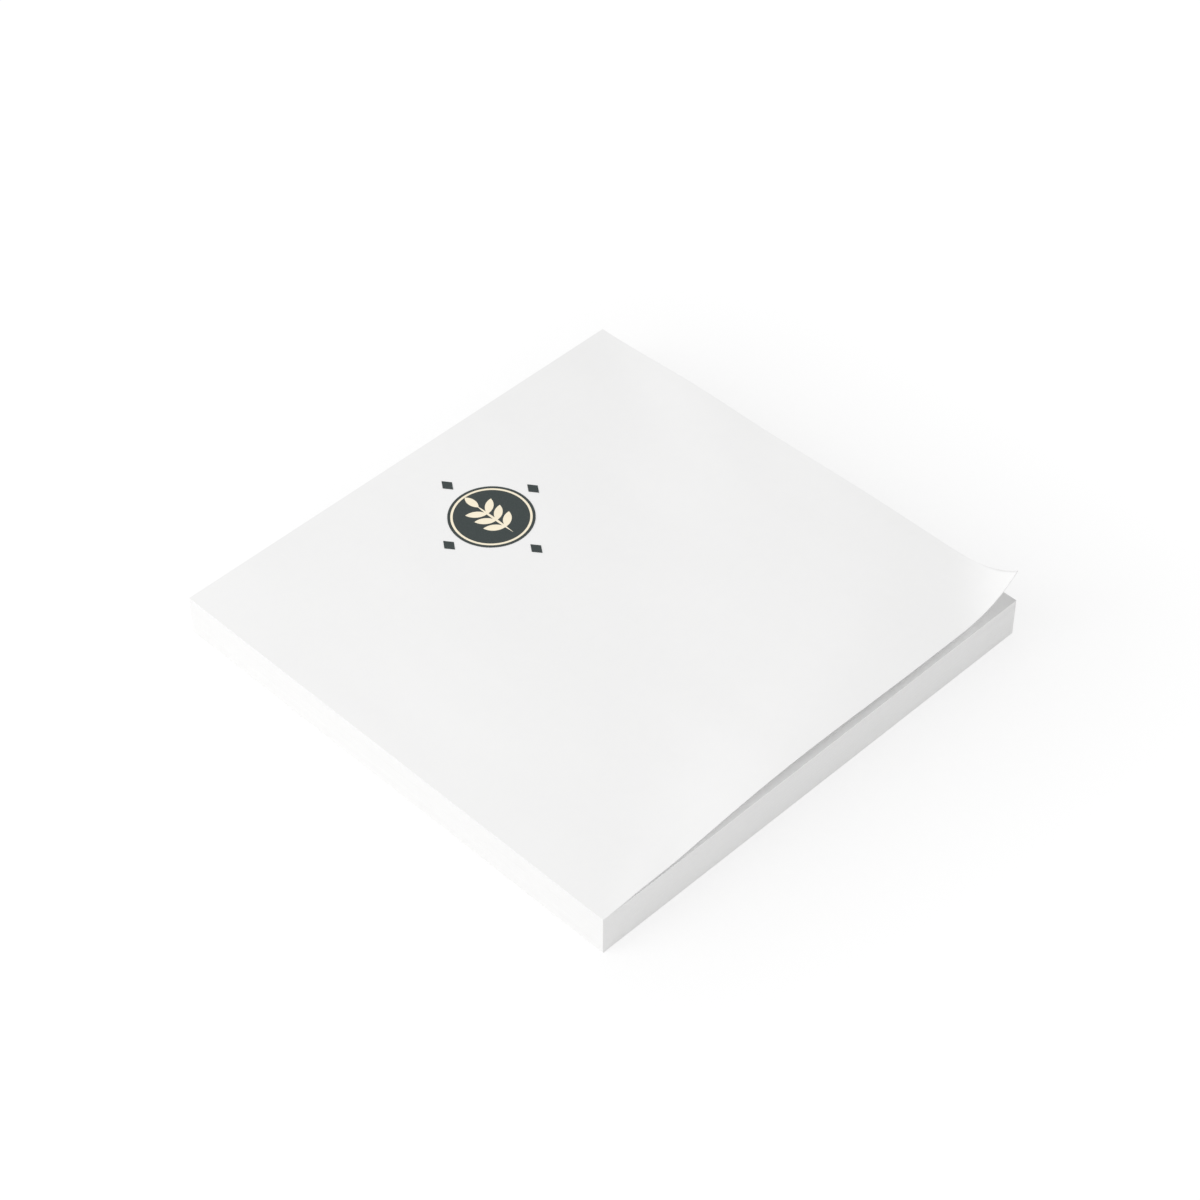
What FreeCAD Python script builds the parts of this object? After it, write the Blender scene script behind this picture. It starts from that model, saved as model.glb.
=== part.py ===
import FreeCAD, Part
import math
import os

# Square pad of sticky notes, in millimetres.
# X runs across the note, Y up the note towards its glued edge, and Z up from the surface that
# it lies on. The origin is the centre of the pad's footprint, on that surface.

# Pad
note_width = 76.2
note_height = 76.2
backing_thickness = 0.2
sheet_count = 49
sheet_pitch = 0.12

# Glue that binds the top note to the block, along the glued edge
glue_band = 16.0
glue_margin = 0.6
glue_thickness = 0.03

# Top note, which has come away from the block over the half nearest to one free corner.
# The lift starts beside the diagonal between that corner's two neighbours, and swells a little
# along the two free edges. A reach is a distance from the curled corner, straight towards the
# far one.
note_thickness = 0.1
lift_start = 0.1
lift_run = 40.0
lift_rise = 1.68
lift_rounding = 0.25
bottom_swell_reach = 32.5
bottom_swell_half_length = 19.0
bottom_swell_rise = 0.94
bottom_swell_depth = 16.0
side_swell_reach = 41.6
side_swell_half_length = 12.0
side_swell_rise = 0.47
side_swell_depth = 12.0
curl_reach = 9.0
curl_rise = 3.66
curl_power = 2.8
pull_in_per_lift = 0.05
net_pitch = 2.1
net_degree = 3

# Print on the top note: a round sprig medallion with a lozenge on each of its four sides
print_offset = 0.4
print_from_glued_edge = 16.7
ink_thickness = 0.02
ink_clearance = 0.025
medallion_radius = 5.9
ring_inset = 0.4
ring_breadth = 0.32
lozenge_gap_across = 1.0
lozenge_gap_up = 1.55
lozenge_length = 2.3
lozenge_breadth = 1.7
stem_length = 7.6
stem_breadth = 0.36
leaf_length = 3.0
leaf_breadth = 1.15
leaf_spread = 52.0
leaf_pairs = 3
leaf_pair_pitch = 1.75
first_leaf_height = 1.5
tip_leaf_length = 2.7

# Levels
block_bottom = backing_thickness
block_top = block_bottom + sheet_count * sheet_pitch
note_bottom = block_top + glue_thickness
note_top = note_bottom + note_thickness
ink_bottom = note_top + ink_clearance

# Reach at which the top note starts to lift
lift_reach = (note_width + note_height) / (2 * math.sqrt(2)) - lift_start


def slab(width, height, thickness, z):
    """Rectangular sheet, centred on the pad, with its lower face at height z."""
    corner = FreeCAD.Vector(-width / 2, -height / 2, z)
    return Part.makeBox(width, height, thickness, corner)


def backing_sheet():
    """Plain stiff sheet that closes the pad underneath."""
    return slab(note_width, note_height, backing_thickness, 0)


def note_block():
    """All the notes below the top one, held together as one block."""
    return slab(note_width, note_height, block_top - block_bottom, block_bottom)


def adhesive_strip():
    """Thin band of glue on the block, just inside its glued edge."""
    width = note_width - 2 * glue_margin
    corner = FreeCAD.Vector(-width / 2, note_height / 2 - glue_margin - glue_band, block_top)
    return Part.makeBox(width, glue_band, glue_thickness, corner)


def smooth_step(t):
    """Rise from 0 to 1 with level ends as t goes from 0 to 1."""
    t = min(max(t, 0.0), 1.0)
    return t * t * (3 - 2 * t)


def hump(t):
    """Rounded hump of height 1 at t = 0 that dies out at t = -1 and t = 1."""
    return 0.5 + 0.5 * math.cos(math.pi * t) if abs(t) < 1 else 0.0


def even_ramp(t):
    """Rise from 0 to 1 at an even slope, with rounded ends, as t goes from 0 to 1."""
    t = min(max(t, 0.0), 1.0)
    bend = 2 * lift_rounding * (1 - lift_rounding)
    if t < lift_rounding:
        return t * t / bend
    if t > 1 - lift_rounding:
        return 1 - (1 - t) ** 2 / bend
    return (t - lift_rounding / 2) / (1 - lift_rounding)


def lift(x, y):
    """Height of the top note's lower face above its flat place at x, y."""
    from_right = note_width / 2 - x
    from_bottom = note_height / 2 + y
    reach = (from_right + from_bottom) / math.sqrt(2)
    rise = lift_rise * even_ramp((lift_reach - reach) / lift_run)
    bottom_swell = bottom_swell_rise * hump((reach - bottom_swell_reach) / bottom_swell_half_length)
    rise += bottom_swell * smooth_step(1 - from_bottom / bottom_swell_depth)
    side_swell = side_swell_rise * hump((reach - side_swell_reach) / side_swell_half_length)
    rise += side_swell * smooth_step(1 - from_right / side_swell_depth)
    if reach < curl_reach:
        rise += curl_rise * (1 - reach / curl_reach) ** curl_power
    return rise


def note_point(x, y, offset):
    """Point of the top note above x, y, at a distance from its lower face."""
    step = 0.01
    slope_x = (lift(x + step, y) - lift(x - step, y)) / (2 * step)
    slope_y = (lift(x, y + step) - lift(x, y - step)) / (2 * step)
    normal = FreeCAD.Vector(-slope_x, -slope_y, 1).normalize()
    pull_in = pull_in_per_lift * lift(x, y) / math.sqrt(2)
    foot = FreeCAD.Vector(x - pull_in, y + pull_in, note_bottom + lift(x, y))
    return foot + normal * offset


def pole_places(spans, length):
    """Places along one side for the poles of an even B-spline with that many spans.

    Each pole lies at the mean of the knots that it spans, so the net stays straight and even.
    """
    knots = [min(max(i - net_degree + 1, 0), spans) for i in range(spans + 2 * net_degree - 1)]
    means = [sum(knots[i:i + net_degree]) / net_degree for i in range(spans + net_degree)]
    return [length * (mean / spans - 0.5) for mean in means]


def note_face(offset):
    """Smooth face of the top note, at a distance from its lower face."""
    spans_x = max(round(note_width / net_pitch), net_degree)
    spans_y = max(round(note_height / net_pitch), net_degree)
    poles = [
        [note_point(x, y, offset) for y in pole_places(spans_y, note_height)]
        for x in pole_places(spans_x, note_width)
    ]
    end = [net_degree + 1]
    surface = Part.BSplineSurface()
    surface.buildFromPolesMultsKnots(
        poles,
        end + [1] * (spans_x - 1) + end,
        end + [1] * (spans_y - 1) + end,
        [i / spans_x for i in range(spans_x + 1)],
        [i / spans_y for i in range(spans_y + 1)],
        False, False, net_degree, net_degree,
    )
    return surface.toShape()


def top_note():
    """Curved sheet between a lower and an upper face, closed by its four cut edges."""
    lower = note_face(0)
    upper = note_face(note_thickness)
    cut_edges = [Part.makeRuledSurface(a, b) for a, b in zip(lower.Edges, upper.Edges)]
    shell = Part.makeShell([lower, upper] + cut_edges)
    shell.sewShape()
    return Part.makeSolid(shell)


def on_print(x, y):
    """Point at the ink's lower face, at a place measured from the print's centre."""
    return FreeCAD.Vector(print_offset + x, note_height / 2 - print_from_glued_edge + y, ink_bottom)


def disc(radius):
    """Round face about the print's centre."""
    centre = on_print(0, 0)
    return Part.Face(Part.Wire([Part.makeCircle(radius, centre)]))


def leaf(x, y, length, breadth, tilt):
    """Pointed leaf between two arcs, from its foot at x, y, leaning by tilt degrees."""
    along = FreeCAD.Vector(math.sin(math.radians(tilt)), math.cos(math.radians(tilt)), 0)
    across = FreeCAD.Vector(along.y, -along.x, 0)
    foot = on_print(x, y)
    point = foot + along * length
    middle = foot + along * (length / 2)
    right = Part.Arc(foot, middle + across * (breadth / 2), point).toShape()
    left = Part.Arc(point, middle - across * (breadth / 2), foot).toShape()
    return Part.Face(Part.Wire([right, left]))


def sprig():
    """Stem with pairs of leaves and one leaf at its tip, as one face."""
    foot = -(stem_length + tip_leaf_length) / 2 + tip_leaf_length / 3
    stem = leaf(0, foot, stem_length, stem_breadth, 0)
    leaves = []
    for pair in range(leaf_pairs):
        height = foot + first_leaf_height + pair * leaf_pair_pitch
        leaves += [leaf(0, height, leaf_length, leaf_breadth, side * leaf_spread) for side in (-1, 1)]
    tip_foot = foot + first_leaf_height + leaf_pairs * leaf_pair_pitch
    leaves.append(leaf(0, tip_foot, tip_leaf_length, leaf_breadth, 0))
    return stem.fuse(leaves).removeSplitter()


def ring():
    """Thin ring a little inside the medallion's rim."""
    outer = medallion_radius - ring_inset
    return disc(outer).cut(disc(outer - ring_breadth))


def lozenge(x, y):
    """Small upright diamond about x, y."""
    half_x = lozenge_breadth / 2
    half_y = lozenge_length / 2
    corners = [(x - half_x, y), (x, y - half_y), (x + half_x, y), (x, y + half_y), (x - half_x, y)]
    return Part.Face(Part.makePolygon([on_print(*corner) for corner in corners]))


def ink(faces):
    """Layer of ink on the note, in the outline of the faces."""
    return Part.makeCompound(faces).extrude(FreeCAD.Vector(0, 0, ink_thickness))


def print_dark():
    """Dark ink: the medallion's ground and the four lozenges about it."""
    ground = disc(medallion_radius).cut(ring()).cut(sprig())
    side = medallion_radius + lozenge_gap_across + lozenge_breadth / 2
    end = medallion_radius + lozenge_gap_up + lozenge_length / 2
    places = [(side, 0), (-side, 0), (0, end), (0, -end)]
    return ink(ground.Faces + [lozenge(*place) for place in places])


def print_cream():
    """Cream ink: the sprig and the thin ring, which fill their gaps in the dark ink."""
    return ink(ring().Faces + sprig().Faces)


def main():
    """Write one file for each piece of the pad."""
    pieces = {
        "backing_sheet": backing_sheet(),
        "note_block": note_block(),
        "adhesive_strip": adhesive_strip(),
        "top_note": top_note(),
        "print_dark": print_dark(),
        "print_cream": print_cream(),
    }
    os.makedirs("parts", exist_ok=True)
    for name, shape in pieces.items():
        shape.exportStep(f"parts/{name}.step")
        box = shape.BoundBox
        print(f"{name}: {len(shape.Solids)} solids, {shape.Volume:.3f} mm3, valid {shape.isValid()},"
              f" z {box.ZMin:.3f} to {box.ZMax:.3f}")


main()
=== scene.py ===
"""Dresses a square pad of white sticky notes and sets it in a plain pale studio."""

import logging
import math
import random
from dataclasses import dataclass
from enum import Enum
from typing import Any, Callable, Mapping, Sequence

import bmesh
import bpy
from mathutils import Matrix, Vector, noise


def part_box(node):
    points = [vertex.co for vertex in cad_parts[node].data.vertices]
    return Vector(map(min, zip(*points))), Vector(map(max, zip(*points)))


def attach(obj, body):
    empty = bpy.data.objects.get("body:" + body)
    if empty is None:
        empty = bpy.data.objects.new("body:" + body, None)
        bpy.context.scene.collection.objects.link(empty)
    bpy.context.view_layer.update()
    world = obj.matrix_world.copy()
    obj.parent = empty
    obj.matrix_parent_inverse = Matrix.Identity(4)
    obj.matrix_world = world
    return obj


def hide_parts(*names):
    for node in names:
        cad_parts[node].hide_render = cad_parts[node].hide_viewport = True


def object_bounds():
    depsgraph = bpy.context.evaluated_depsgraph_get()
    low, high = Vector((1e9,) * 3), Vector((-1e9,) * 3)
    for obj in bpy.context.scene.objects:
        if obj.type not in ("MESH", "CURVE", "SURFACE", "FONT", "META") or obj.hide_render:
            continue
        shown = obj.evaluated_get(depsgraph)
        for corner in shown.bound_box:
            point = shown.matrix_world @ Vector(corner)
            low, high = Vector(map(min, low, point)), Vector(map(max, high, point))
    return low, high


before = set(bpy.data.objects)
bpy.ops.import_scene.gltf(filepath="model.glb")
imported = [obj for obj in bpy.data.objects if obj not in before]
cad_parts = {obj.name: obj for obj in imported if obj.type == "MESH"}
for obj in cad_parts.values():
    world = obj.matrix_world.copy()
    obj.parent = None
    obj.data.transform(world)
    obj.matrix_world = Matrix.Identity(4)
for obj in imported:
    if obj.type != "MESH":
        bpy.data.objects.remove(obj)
CAD_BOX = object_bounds()

LOG = logging.getLogger("note_pad")
MM = 0.001
BODY = "root"
NOISE_MIDDLE = 0.5
SHARP_ANGLE = math.radians(40)
Colour = tuple[float, float, float, float]


def grey(level: float, warmth: float = 0.0) -> Colour:
    """Returns a near-neutral linear colour.

    Args:
        level: Share of the light that it gives back, from 0 to 1.
        warmth: How much less blue than red it is, as a share of the level.

    Returns:
        The colour with an alpha of 1.
    """
    return (level, level * (1 - warmth / 3), level * (1 - warmth), 1.0)


def ease(t: float) -> float:
    """Rises from 0 to 1 with level ends as t goes from 0 to 1."""
    t = min(max(t, 0.0), 1.0)
    return t * t * (3 - 2 * t)


def hump(t: float) -> float:
    """Gives a rounded hump of height 1 at 0 that dies out at -1 and 1."""
    return 0.5 + 0.5 * math.cos(math.pi * t) if abs(t) < 1 else 0.0


class Signal:
    """A socket of a shader tree on which sums can be written as Python expressions."""

    def __init__(self, tree: "ShaderTree", socket: bpy.types.NodeSocket) -> None:
        """Wraps one output socket of a tree."""
        self.tree = tree
        self.socket = socket

    def _sum(self, operation: str, first: Any, second: Any) -> "Signal":
        """Adds one Math node on two values.

        Args:
            operation: The Math node's operation.
            first: A signal or a number.
            second: A signal or a number.

        Returns:
            The node's result.
        """
        return self.tree.out("ShaderNodeMath", {"operation": operation}, {0: first, 1: second})

    def __add__(self, other: Any) -> "Signal":
        """Adds."""
        return self._sum("ADD", self, other)

    def __radd__(self, other: Any) -> "Signal":
        """Adds to a number on the left."""
        return self._sum("ADD", other, self)

    def __sub__(self, other: Any) -> "Signal":
        """Subtracts."""
        return self._sum("SUBTRACT", self, other)

    def __rsub__(self, other: Any) -> "Signal":
        """Subtracts from a number on the left."""
        return self._sum("SUBTRACT", other, self)

    def __mul__(self, other: Any) -> "Signal":
        """Multiplies."""
        return self._sum("MULTIPLY", self, other)

    def __rmul__(self, other: Any) -> "Signal":
        """Multiplies a number on the left."""
        return self._sum("MULTIPLY", other, self)

    def __pow__(self, other: Any) -> "Signal":
        """Raises to a power."""
        return self._sum("POWER", self, other)

    def swing(self, contrast: float) -> "Signal":
        """Turns noise from 0 to 1 into a swing about 0, of that breadth in all."""
        return contrast * (self - NOISE_MIDDLE)


class ShaderTree:
    """The node tree of one material or of the world."""

    def __init__(self, owner: bpy.types.ID) -> None:
        """Empties the tree of its owner."""
        owner.use_nodes = True
        self.owner = owner
        self.tree = owner.node_tree
        self.tree.nodes.clear()

    @classmethod
    def of_material(cls, name: str) -> "ShaderTree":
        """Starts an empty material of that name."""
        return cls(bpy.data.materials.new(name))

    def add(
        self, kind: str, settings: Mapping[str, Any], inputs: Mapping[Any, Any]
    ) -> bpy.types.Node:
        """Adds one node, sets it up and connects it.

        Args:
            kind: The node's type.
            settings: Its properties, set before its sockets.
            inputs: A value or a signal for each named or numbered input.

        Returns:
            The node.
        """
        node = self.tree.nodes.new(kind)
        for key, value in settings.items():
            setattr(node, key, value)
        for key, value in inputs.items():
            if isinstance(value, Signal):
                self.tree.links.new(value.socket, node.inputs[key])
            else:
                node.inputs[key].default_value = value
        return node

    def out(
        self, kind: str, settings: Mapping[str, Any], inputs: Mapping[Any, Any], output: Any = 0
    ) -> Signal:
        """Adds one node and returns one of its outputs as a signal."""
        return Signal(self, self.add(kind, settings, inputs).outputs[output])

    def place(self, stretch: Sequence[float] = (1, 1, 1)) -> Signal:
        """Gives the place on the piece in metres, with each axis stretched by a factor."""
        spot = self.out("ShaderNodeTexCoord", {}, {}, "Object")
        if tuple(stretch) == (1, 1, 1):
            return spot
        return self.out("ShaderNodeMapping", {}, {"Vector": spot, "Scale": stretch})

    def clouds(self, place: Signal, size: float, detail: float = 2.0) -> Signal:
        """Gives soft noise from about 0 to 1.

        Args:
            place: Where to read it.
            size: The width of its patches, in metres.
            detail: How many finer layers it has.

        Returns:
            The noise's value.
        """
        inputs = {"Vector": place, "Scale": 1 / size, "Detail": detail}
        return self.out("ShaderNodeTexNoise", {}, inputs)

    def facing_up(self) -> Signal:
        """Gives how far the surface faces up, from -1 to 1."""
        normal = self.out("ShaderNodeTexCoord", {}, {}, "Normal")
        return self.out("ShaderNodeSeparateXYZ", {}, {"Vector": normal}, "Z")

    def facing_down(self) -> Signal:
        """Gives 0 to faces that look up, 1 to faces that look down, and less in between."""
        return 0.5 - 0.5 * self.facing_up()

    def faded(self, distance: Signal, near: float, far: float) -> Signal:
        """Gives 1 up to the near distance, 0 from the far one on, and an even fade in between."""
        reach = {"Value": distance, "From Min": near, "From Max": far, "To Min": 1.0, "To Max": 0.0}
        return self.out("ShaderNodeMapRange", {}, reach)

    def tinted(self, colour: Any, brightness: Signal) -> Signal:
        """Multiplies a colour, or a signal that carries one, by a brightness."""
        start = colour if isinstance(colour, Signal) else colour[:3]
        inputs = {0: start, "Scale": brightness}
        return self.out("ShaderNodeVectorMath", {"operation": "SCALE"}, inputs)

    def mixed(self, factor: Signal, first: Any, second: Any) -> Signal:
        """Mixes two colours by a factor."""
        inputs = {0: factor, 6: first, 7: second}
        return self.out("ShaderNodeMix", {"data_type": "RGBA"}, inputs, 2)

    def bumped(self, height: Signal, depth: float, strength: float) -> Signal:
        """Gives the normal of a surface with relief.

        Args:
            height: The relief from 0 to 1.
            depth: Its depth in metres.
            strength: How strongly it shows, from 0 to 1.

        Returns:
            The normal.
        """
        inputs = {"Strength": strength, "Distance": depth, "Height": height}
        return self.out("ShaderNodeBump", {}, inputs)

    def seen_directly(self) -> Signal:
        """Gives 1 to rays from the camera or off a shiny or clear surface, and 0 to the rest."""
        rays = self.add("ShaderNodeLightPath", {}, {}).outputs
        names = ("Is Camera Ray", "Is Glossy Ray", "Is Transmission Ray")
        camera, glossy, transmission = (Signal(self, rays[name]) for name in names)
        return camera + glossy + transmission

    def surface(self, inputs: Mapping[Any, Any]) -> bpy.types.Material:
        """Closes the tree with a Principled shader and returns its material."""
        shader = self.out("ShaderNodeBsdfPrincipled", {}, inputs)
        self.add("ShaderNodeOutputMaterial", {}, {"Surface": shader})
        return self.owner


@dataclass(frozen=True)
class PaperFinish:
    """Smooth uncoated writing paper, with faint clouds and short fibres.

    Its underside is painted a little lighter, standing in for the light that comes through thin
    paper. A thin darker rim along its right edge at the curled corner is painted shade, where the
    cut edge turns up away from the light.
    """

    name: str
    colour: Colour
    underside: Colour
    note_half: float
    flat_level: float
    pull_in_per_rise: float
    rim_width: float = 0.38 * MM
    rim_reach: float = 4.5 * MM
    painted_rim_shade: float = 0.18
    underside_sharpness: float = 4.0
    cloud_size: float = 1.6 * MM
    cloud_contrast: float = 0.016
    drift_size: float = 11.0 * MM
    drift_length: float = 2.6
    drift_contrast: float = 0.045
    fibre_size: float = 0.09 * MM
    fibre_length: float = 5.0
    fibre_depth: float = 0.006 * MM
    fibre_strength: float = 0.35
    roughness: float = 0.86
    shine: float = 0.25

    def make(self) -> bpy.types.Material:
        """Builds the material."""
        tree = ShaderTree.of_material(self.name)
        place = tree.place()
        clouds = tree.clouds(place, self.cloud_size, 3.0)
        drift = tree.clouds(tree.place((1, 1 / self.drift_length, 1)), self.drift_size, 1.5)
        along = tree.clouds(tree.place((1 / self.fibre_length, 1, 1)), self.fibre_size)
        across = tree.clouds(tree.place((1, 1 / self.fibre_length, 1)), self.fibre_size)
        level = 1 + clouds.swing(self.cloud_contrast) + drift.swing(self.drift_contrast)
        # Painted shade: a thin darker rim along the right edge at the curled corner.
        level = level - self.painted_rim_shade * self._painted_rim(tree)
        # Painted light: the underside takes the lighter white of light coming through the paper.
        beneath = tree.facing_down() ** self.underside_sharpness
        shown = tree.mixed(beneath, self.colour, self.underside)
        return tree.surface({
            "Base Color": tree.tinted(shown, level),
            "Roughness": self.roughness,
            "Specular IOR Level": self.shine,
            "Normal": tree.bumped(along + across, self.fibre_depth, self.fibre_strength),
        })

    def _painted_rim(self, tree: ShaderTree) -> Signal:
        """Gives the painted shade's strength: 1 at the right edge beside the curled corner, and 0
        away from it.

        Args:
            tree: The material's tree.

        Returns:
            The painted shade's strength at the rim.
        """
        spot = tree.add("ShaderNodeSeparateXYZ", {}, {"Vector": tree.place()}).outputs
        x, y, z = (Signal(tree, spot[axis]) for axis in "XYZ")
        pull = self.pull_in_per_rise * (z - self.flat_level)
        from_right = self.note_half - (x + pull)
        from_corner = from_right + self.note_half + (y - pull)
        full_reach = math.sqrt(2) * self.rim_reach
        beside = tree.faded(from_right, 0.0, self.rim_width)
        return beside * tree.faded(from_corner, full_reach / 2, full_reach)


@dataclass(frozen=True)
class CutStackFinish:
    """Faces of a stack of cut sheets: paper on top, and faintly lined along its cut sides.

    The top is painted greyer towards the corner that the curled note leaves bare, as painted
    shade under the curl.
    """

    name: str
    colour: Colour
    leaf: Colour
    sheet_pitch: float
    pad_half: float
    corner_reach: float = 7.0 * MM
    painted_corner_shade: float = 0.32
    line_contrast: float = 0.022
    line_length: float = 1000.0
    streak_size: float = 0.5 * MM
    streak_length: float = 20.0
    streak_contrast: float = 0.009
    cloud_size: float = 1.6 * MM
    cloud_contrast: float = 0.02
    grain_depth: float = 0.008 * MM
    grain_strength: float = 0.3
    roughness: float = 0.9
    shine: float = 0.2

    def make(self) -> bpy.types.Material:
        """Builds the material."""
        tree = ShaderTree.of_material(self.name)
        place = tree.place()
        along = 1 / self.line_length
        lines = tree.clouds(tree.place((along, along, 1)), self.sheet_pitch, 1.0)
        streaks = tree.clouds(tree.place((1, 1, 1 / self.streak_length)), self.streak_size, 1.0)
        clouds = tree.clouds(place, self.cloud_size, 3.0)
        grain = tree.clouds(place, self.sheet_pitch)
        level = 1 + lines.swing(self.line_contrast) + streaks.swing(self.streak_contrast)
        level = level + clouds.swing(self.cloud_contrast)
        # Painted shade: the leaf is darker towards the corner under the curl.
        spot = tree.add("ShaderNodeSeparateXYZ", {}, {"Vector": place}).outputs
        from_corner = (Signal(tree, spot["Y"]) - Signal(tree, spot["X"])) + 2 * self.pad_half
        fade = {
            "Value": from_corner,
            "From Max": math.sqrt(2) * self.corner_reach,
            "To Min": 1 - self.painted_corner_shade,
        }
        leaf = tree.tinted(self.leaf, tree.out("ShaderNodeMapRange", {}, fade))
        on_leaf = tree.facing_up() ** 2
        return tree.surface({
            "Base Color": tree.tinted(tree.mixed(on_leaf, self.colour, leaf), level),
            "Roughness": self.roughness,
            "Specular IOR Level": self.shine,
            "Normal": tree.bumped(grain, self.grain_depth, self.grain_strength),
        })


@dataclass(frozen=True)
class CardFinish:
    """Plain stiff backing sheet, a little greyer than the notes and flecked."""

    name: str
    colour: Colour
    fleck_size: float = 0.35 * MM
    fleck_length: float = 3.0
    fleck_contrast: float = 0.05
    fleck_depth: float = 0.01 * MM
    fleck_strength: float = 0.3
    cloud_size: float = 4.0 * MM
    cloud_contrast: float = 0.03
    roughness: float = 0.8
    shine: float = 0.3

    def make(self) -> bpy.types.Material:
        """Builds the material."""
        tree = ShaderTree.of_material(self.name)
        place = tree.place()
        clouds = tree.clouds(place, self.cloud_size, 3.0)
        flecks = tree.clouds(tree.place((1, 1 / self.fleck_length, 1)), self.fleck_size)
        level = 1 + clouds.swing(self.cloud_contrast) + flecks.swing(self.fleck_contrast)
        return tree.surface({
            "Base Color": tree.tinted(self.colour, level),
            "Roughness": self.roughness,
            "Specular IOR Level": self.shine,
            "Normal": tree.bumped(flecks, self.fleck_depth, self.fleck_strength),
        })


@dataclass(frozen=True)
class GlueFinish:
    """Thin low-tack glue: tiny raised dots with a soft shine."""

    name: str
    colour: Colour
    dot_size: float = 0.12 * MM
    dot_depth: float = 0.01 * MM
    dot_strength: float = 0.5
    cloud_size: float = 2.5 * MM
    cloud_contrast: float = 0.06
    roughness: float = 0.4
    roughness_contrast: float = 0.2
    shine: float = 0.5

    def make(self) -> bpy.types.Material:
        """Builds the material."""
        tree = ShaderTree.of_material(self.name)
        place = tree.place()
        inputs = {"Vector": place, "Scale": 1 / self.dot_size}
        dots = 1 - tree.out("ShaderNodeTexVoronoi", {"feature": "F1"}, inputs, "Distance")
        clouds = tree.clouds(place, self.cloud_size)
        return tree.surface({
            "Base Color": tree.tinted(self.colour, 1 + clouds.swing(self.cloud_contrast)),
            "Roughness": self.roughness + clouds.swing(self.roughness_contrast),
            "Specular IOR Level": self.shine,
            "Normal": tree.bumped(dots, self.dot_depth, self.dot_strength),
        })


@dataclass(frozen=True)
class InkFinish:
    """Matt ink that has sunk unevenly into the paper's fibres."""

    name: str
    colour: Colour
    paper: Colour
    speck_size: float = 0.14 * MM
    speck_sharpness: float = 3.0
    bare_share: float = 0.05
    speck_depth: float = 0.004 * MM
    speck_strength: float = 0.3
    cloud_size: float = 1.8 * MM
    cloud_contrast: float = 0.12
    roughness: float = 0.68
    roughness_contrast: float = 0.12
    shine: float = 0.3

    def make(self) -> bpy.types.Material:
        """Builds the material."""
        tree = ShaderTree.of_material(self.name)
        place = tree.place()
        clouds = tree.clouds(place, self.cloud_size, 3.0)
        specks = tree.clouds(place, self.speck_size)
        tone = tree.tinted(self.colour, 1 + clouds.swing(self.cloud_contrast))
        bare = self.bare_share * specks ** self.speck_sharpness
        return tree.surface({
            "Base Color": tree.mixed(bare, tone, self.paper),
            "Roughness": self.roughness + clouds.swing(self.roughness_contrast),
            "Specular IOR Level": self.shine,
            "Normal": tree.bumped(specks, self.speck_depth, self.speck_strength),
        })


@dataclass(frozen=True)
class FloorFinish:
    """Pale sweep that shows as white where it is open and keeps the pad's soft shadow.

    Its glow grows away from a rounded square that leans from the pad towards the shadow, so the
    floor near the pad carries a painted shadow.
    """

    name: str
    pad_half: float
    lit_share: float = 0.32
    glow: float = 0.662
    far_glow: float = 0.08
    painted_shadow_run: float = 44.0 * MM
    lean: float = 6.0 * MM
    squareness: float = 4.0
    bounce: float = 0.9

    def make(self) -> bpy.types.Material:
        """Builds the material."""
        tree = ShaderTree.of_material(self.name)
        lit = tree.out("ShaderNodeBsdfDiffuse", {}, {"Color": grey(self.lit_share)})
        spot = tree.add("ShaderNodeSeparateXYZ", {}, {"Vector": tree.place()}).outputs
        across, along = Signal(tree, spot["X"]) - self.lean, Signal(tree, spot["Y"]) + self.lean
        distance = (across ** self.squareness + along ** self.squareness) ** (1 / self.squareness)
        # Painted shadow: the glow is weakest next to the pad, reaching farthest on its shadow side.
        reach = {
            "Value": distance,
            "From Min": self.pad_half,
            "From Max": self.pad_half + self.painted_shadow_run,
            "To Min": self.glow,
            "To Max": self.glow + self.far_glow,
        }
        level = tree.out("ShaderNodeMapRange", {}, reach)
        glow = tree.out("ShaderNodeEmission", {}, {"Color": tree.tinted(grey(1.0), level)})
        shown = tree.out("ShaderNodeAddShader", {}, {0: lit, 1: glow})
        plain = tree.out("ShaderNodeBsdfDiffuse", {}, {"Color": grey(self.bounce)})
        mixed = tree.out("ShaderNodeMixShader", {}, {0: tree.seen_directly(), 1: plain, 2: shown})
        tree.add("ShaderNodeOutputMaterial", {}, {"Surface": mixed})
        return tree.owner


PAPER_WHITE = grey(0.892, 0.004)
CUT_WHITE = grey(0.863, 0.006)
# Painted light: whiter than the notes' paper, standing in for light that comes through them.
LIT_THROUGH_WHITE = grey(0.985, 0.004)
CARD_WHITE = grey(0.86, 0.008)
GLUE_CLEAR = grey(0.84, 0.06)
INK_DARK: Colour = (0.036, 0.048, 0.047, 1.0)
INK_CREAM: Colour = (0.965, 0.875, 0.68, 1.0)


def dress(piece: bpy.types.Object, material: bpy.types.Material) -> None:
    """Gives a piece one material all over."""
    piece.data.materials.clear()
    piece.data.materials.append(material)


def finish_mesh(name: str, mesh: bmesh.types.BMesh, smooth: bool) -> bpy.types.Object:
    """Turns a finished bmesh into an object at the origin.

    Args:
        name: The piece's name.
        mesh: Its faces, in place. It is freed here.
        smooth: Whether its faces are shaded smooth between sharp edges.

    Returns:
        The object.
    """
    bmesh.ops.recalc_face_normals(mesh, faces=mesh.faces[:])
    for face in mesh.faces:
        face.smooth = smooth
    data = bpy.data.meshes.new(name)
    mesh.to_mesh(data)
    mesh.free()
    if smooth:
        data.set_sharp_from_angle(angle=SHARP_ANGLE)
    piece = bpy.data.objects.new(name, data)
    bpy.context.scene.collection.objects.link(piece)
    return piece


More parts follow.
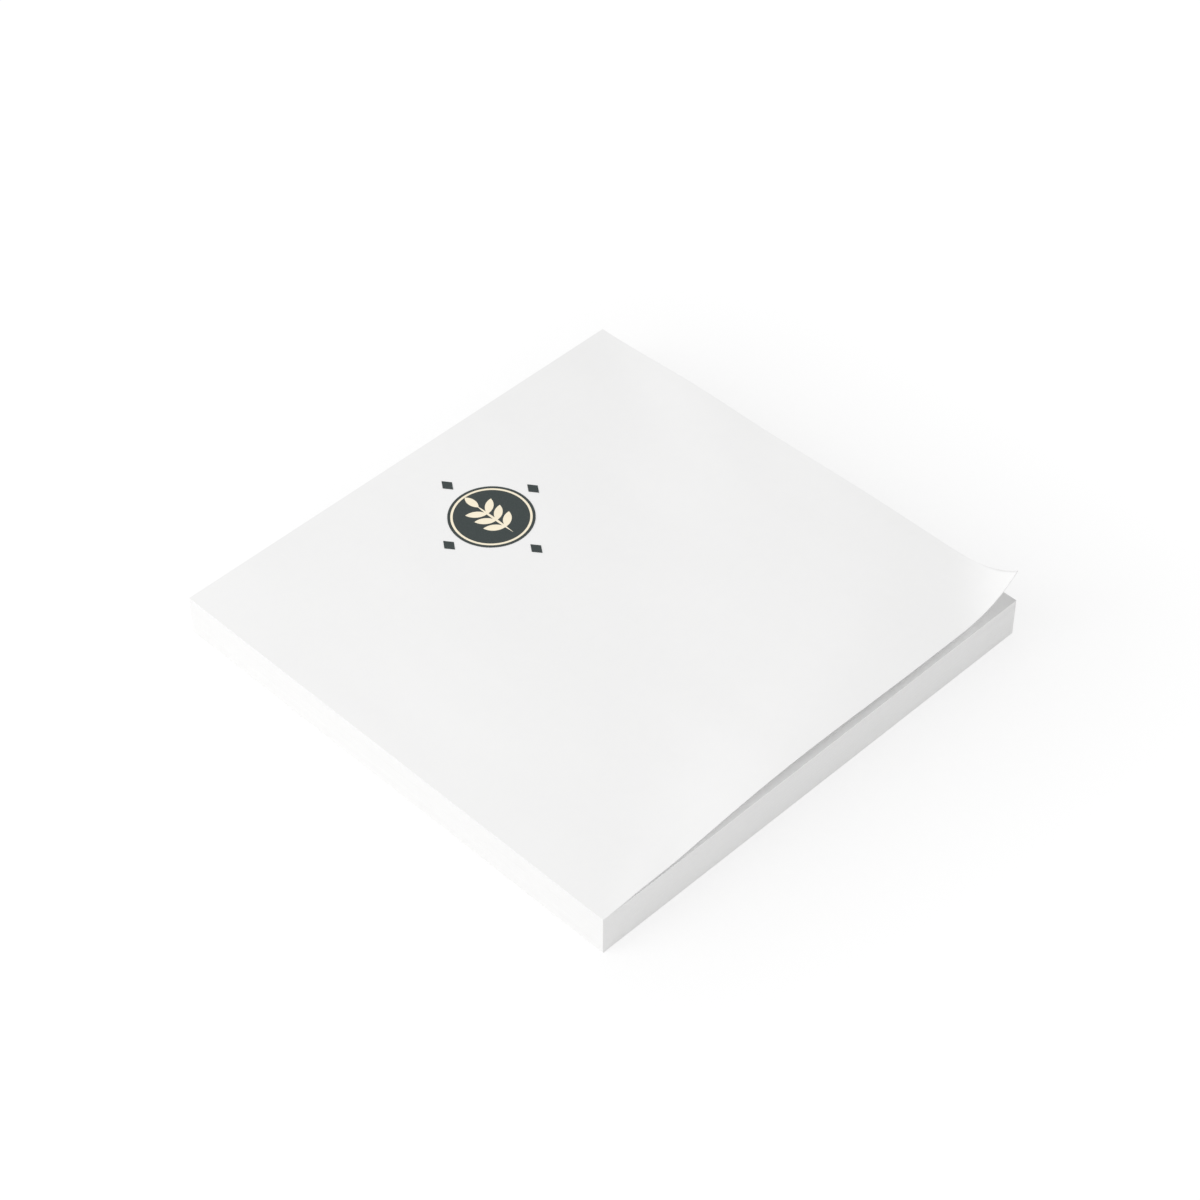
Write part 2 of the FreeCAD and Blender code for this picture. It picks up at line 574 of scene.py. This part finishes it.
@dataclass
class NoteBlock:
    """The notes below the top one: cut sheets, one on another, glued at one edge."""

    sheet_count: int = 49
    gap: float = 0.005 * MM
    loose: float = 0.014 * MM
    drift: float = 0.012 * MM
    drift_sheets: float = 9.0
    noise_row: float = 0.5
    noise_rows_apart: float = 10.0
    seed: int = 7

    def build(self) -> bpy.types.Object:
        """Builds the sheets in the place of the solid block.

        Returns:
            The dressed piece.
        """
        low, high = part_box("note_block")
        pitch = (high.z - low.z) / self.sheet_count
        dice = random.Random(self.seed)
        mesh = bmesh.new()
        for index in range(self.sheet_count):
            first, last = self._edges(low, high, index, dice)
            first.z = low.z + index * pitch
            last.z = first.z + pitch - (self.gap if index < self.sheet_count - 1 else 0)
            size, middle = last - first, (first + last) / 2
            place = Matrix.Translation(middle) @ Matrix.Diagonal((*size, 1))
            bmesh.ops.create_cube(mesh, size=1, matrix=place)
        piece = finish_mesh("stacked_notes", mesh, smooth=False)
        finish = CutStackFinish("cut_note_edges", CUT_WHITE, LIT_THROUGH_WHITE, pitch, high.x)
        dress(piece, finish.make())
        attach(piece, BODY)
        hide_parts("note_block")
        return piece

    def _edges(
        self, low: Vector, high: Vector, index: int, dice: random.Random
    ) -> tuple[Vector, Vector]:
        """Gives one sheet's corners, each edge a hair inside the block's own.

        Args:
            low: The block's lowest corner.
            high: Its highest corner.
            index: The sheet's number, from the bottom.
            dice: The source of the small differences.

        Returns:
            The sheet's lowest and highest corners, at the block's levels.
        """
        steps = []
        for side in range(4):
            row = self.noise_rows_apart * side
            wave = noise.noise(Vector((index / self.drift_sheets, row, self.noise_row)))
            steps.append(self.drift * (1 + wave) / 2 + self.loose * dice.random() ** 2)
        first = low + Vector((steps[0], steps[1], 0))
        last = high - Vector((steps[2], steps[3], 0))
        return first, last


@dataclass
class TopNote:
    """The loose printed note, lifted over one half and curled up at a free corner.

    A reach is a distance from the curled corner, straight towards the far one.
    """

    thickness: float = 0.1 * MM
    lift_start: float = 0.1 * MM
    lift_run: float = 40.0 * MM
    lift_rise: float = 1.68 * MM
    lift_rounding: float = 0.25
    bottom_swell_reach: float = 32.5 * MM
    bottom_swell_half_length: float = 19.0 * MM
    bottom_swell_rise: float = 0.94 * MM
    bottom_swell_depth: float = 16.0 * MM
    side_swell_reach: float = 41.6 * MM
    side_swell_half_length: float = 12.0 * MM
    side_swell_rise: float = 0.47 * MM
    side_swell_depth: float = 12.0 * MM
    front_gap_reach: float = 49.0 * MM
    front_gap_half_length: float = 4.8 * MM
    front_gap_rise: float = 0.22 * MM
    front_gap_depth: float = 6.0 * MM
    curl_reach: float = 9.0 * MM
    curl_rise: float = 3.66 * MM
    curl_power: float = 2.8
    pull_in_per_lift: float = 0.05
    cells: int = 128

    def build(self) -> bpy.types.Object:
        """Bends a flat net of cells into the note's shape and gives it its thickness.

        Returns:
            The dressed piece.
        """
        flat_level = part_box("top_note")[0].z
        low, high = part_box("note_block")
        middle = Vector(((low.x + high.x) / 2, (low.y + high.y) / 2, flat_level))
        half = Matrix.Diagonal((high.x - middle.x, high.y - middle.y, 1, 1))
        mesh = bmesh.new()
        bmesh.ops.create_grid(
            mesh, x_segments=self.cells, y_segments=self.cells, size=1,
            matrix=Matrix.Translation(middle) @ half,
        )
        start = (high.x - low.x + high.y - low.y) / (2 * math.sqrt(2)) - self.lift_start
        for vertex in mesh.verts:
            rise = self._lift(high.x - vertex.co.x, vertex.co.y - low.y, start)
            pull = self.pull_in_per_lift * rise / math.sqrt(2)
            vertex.co += Vector((-pull, pull, rise))
        mesh.normal_update()
        bmesh.ops.solidify(mesh, geom=mesh.faces[:], thickness=-self.thickness)
        piece = finish_mesh("loose_note", mesh, smooth=True)
        pull_in = self.pull_in_per_lift / math.sqrt(2)
        paper = PaperFinish("note_paper", PAPER_WHITE, LIT_THROUGH_WHITE, high.x, flat_level, pull_in)
        dress(piece, paper.make())
        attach(piece, BODY)
        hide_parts("top_note")
        return piece

    def _even_ramp(self, t: float) -> float:
        """Rises from 0 to 1 at an even slope, with rounded ends, as t goes from 0 to 1."""
        t = min(max(t, 0.0), 1.0)
        bend = 2 * self.lift_rounding * (1 - self.lift_rounding)
        if t < self.lift_rounding:
            return t * t / bend
        if t > 1 - self.lift_rounding:
            return 1 - (1 - t) ** 2 / bend
        return (t - self.lift_rounding / 2) / (1 - self.lift_rounding)

    def _lift(self, from_right: float, from_bottom: float, start: float) -> float:
        """Gives the height of the note above its flat place.

        Args:
            from_right: Distance from the note's right edge.
            from_bottom: Distance from its bottom edge.
            start: Reach at which the lift starts.

        Returns:
            The lift in metres.
        """
        reach = (from_right + from_bottom) / math.sqrt(2)
        rise = self.lift_rise * self._even_ramp((start - reach) / self.lift_run)
        along_bottom = (reach - self.bottom_swell_reach) / self.bottom_swell_half_length
        swell = self.bottom_swell_rise * hump(along_bottom)
        rise += swell * ease(1 - from_bottom / self.bottom_swell_depth)
        along_side = (reach - self.side_swell_reach) / self.side_swell_half_length
        swell = self.side_swell_rise * hump(along_side)
        rise += swell * ease(1 - from_right / self.side_swell_depth)
        along_front = (reach - self.front_gap_reach) / self.front_gap_half_length
        gap = self.front_gap_rise * hump(along_front)
        rise += gap * ease(1 - from_bottom / self.front_gap_depth)
        if reach < self.curl_reach:
            rise += self.curl_rise * (1 - reach / self.curl_reach) ** self.curl_power
        return rise


@dataclass
class Dressing:
    """A finish for a piece that keeps the shape of its solid."""

    node: str
    finish: Callable[[], bpy.types.Material]

    def apply(self) -> bpy.types.Object:
        """Puts the finish on the piece."""
        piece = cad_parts[self.node]
        dress(piece, self.finish())
        return piece


@dataclass(frozen=True)
class LampPlace:
    """Where a round lamp hangs and how strong it is: degrees, metres and watts."""

    compass: float
    elevation: float
    distance: float
    width: float
    power: float

    def direction(self) -> Vector:
        """Gives the direction from the pad towards the lamp."""
        compass, elevation = math.radians(self.compass), math.radians(self.elevation)
        level = math.cos(elevation)
        return Vector((level * math.sin(compass), level * math.cos(compass), math.sin(elevation)))


class Lamp(Enum):
    """The studio's lamps."""

    KEY = LampPlace(compass=-63.0, elevation=16.0, distance=1.0, width=0.65, power=2.25)
    NEAR = LampPlace(compass=-78.0, elevation=52.0, distance=0.3, width=0.2, power=0.13)


@dataclass
class Studio:
    """Plain white surroundings, soft lamps, and the camera of the picture."""

    floor_half: float = 1.5
    sky: float = 0.82
    picture_width: int = 1200
    focal_pixels: float = 3363.1
    sensor: float = 36.0
    camera_azimuth: float = -45.135
    camera_elevation: float = 45.155
    camera_distance: float = 442.25 * MM
    aim_right: float = -0.368 * MM
    aim_up: float = 4.231 * MM
    roll: float = 0.201
    near_clip: float = 10 * MM

    def build(self) -> None:
        """Sets up the floor, the light and the camera."""
        self._floor()
        self._sky()
        for lamp in Lamp:
            self._hang(lamp)
        self._camera()

    def _floor(self) -> None:
        """Lays the floor at the height on which the pad stands."""
        mesh = bmesh.new()
        bmesh.ops.create_grid(mesh, x_segments=1, y_segments=1, size=self.floor_half)
        floor = finish_mesh("floor", mesh, smooth=False)
        dress(floor, FloorFinish("pale_floor", CAD_BOX[1].x).make())

    def _sky(self) -> None:
        """Lights the scene evenly, and shows white behind it."""
        world = bpy.data.worlds.new("white_room")
        tree = ShaderTree(world)
        strength = self.sky + (1 - self.sky) * tree.seen_directly()
        inputs = {"Color": grey(1.0), "Strength": strength}
        background = tree.out("ShaderNodeBackground", {}, inputs)
        tree.add("ShaderNodeOutputWorld", {}, {"Surface": background})
        bpy.context.scene.world = world

    def _hang(self, lamp: Lamp) -> None:
        """Hangs one round lamp, turned towards the pad."""
        light = bpy.data.lights.new(lamp.name.lower(), "AREA")
        light.shape = "DISK"
        light.size = lamp.value.width
        light.energy = lamp.value.power
        hung = bpy.data.objects.new(light.name, light)
        direction = lamp.value.direction()
        hung.location = direction * lamp.value.distance
        hung.rotation_euler = direction.to_track_quat("Z", "Y").to_euler()
        hung.visible_camera = False
        bpy.context.scene.collection.objects.link(hung)

    def _camera(self) -> None:
        """Sets the camera where the photographer's was."""
        azimuth = math.radians(self.camera_azimuth)
        elevation = math.radians(self.camera_elevation)
        turn = math.radians(self.roll)
        level = math.cos(elevation)
        back = Vector((math.sin(azimuth) * level, -math.cos(azimuth) * level, math.sin(elevation)))
        right = Vector((math.cos(azimuth), math.sin(azimuth), 0))
        up = back.cross(right)
        place = self.aim_right * right + self.aim_up * up + self.camera_distance * back
        side = math.cos(turn) * right + math.sin(turn) * up
        head = math.cos(turn) * up - math.sin(turn) * right
        lens = bpy.data.cameras.new("camera")
        lens.sensor_width = self.sensor
        lens.lens = self.focal_pixels / self.picture_width * self.sensor
        lens.clip_start = self.near_clip
        camera = bpy.data.objects.new("camera", lens)
        axes = Matrix((side, head, back)).transposed().to_4x4()
        camera.matrix_world = Matrix.Translation(place) @ axes
        bpy.context.scene.collection.objects.link(camera)
        bpy.context.scene.camera = camera


def main() -> None:
    """Builds the pad piece by piece, and then the studio."""
    logging.basicConfig(level=logging.INFO, format="%(name)s: %(message)s")
    bpy.context.scene.view_settings.view_transform = "Standard"
    pieces = [
        NoteBlock().build(),
        TopNote().build(),
        Dressing("backing_sheet", CardFinish("backing_card", CARD_WHITE).make).apply(),
        Dressing("adhesive_strip", GlueFinish("low_tack_glue", GLUE_CLEAR).make).apply(),
        Dressing("print_dark", InkFinish("dark_ink", INK_DARK, PAPER_WHITE).make).apply(),
        Dressing("print_cream", InkFinish("cream_ink", INK_CREAM, PAPER_WHITE).make).apply(),
    ]
    for piece in pieces:
        LOG.info("%s: %d faces", piece.name, len(piece.data.polygons))
    Studio().build()


if __name__ == "__main__":
    main()
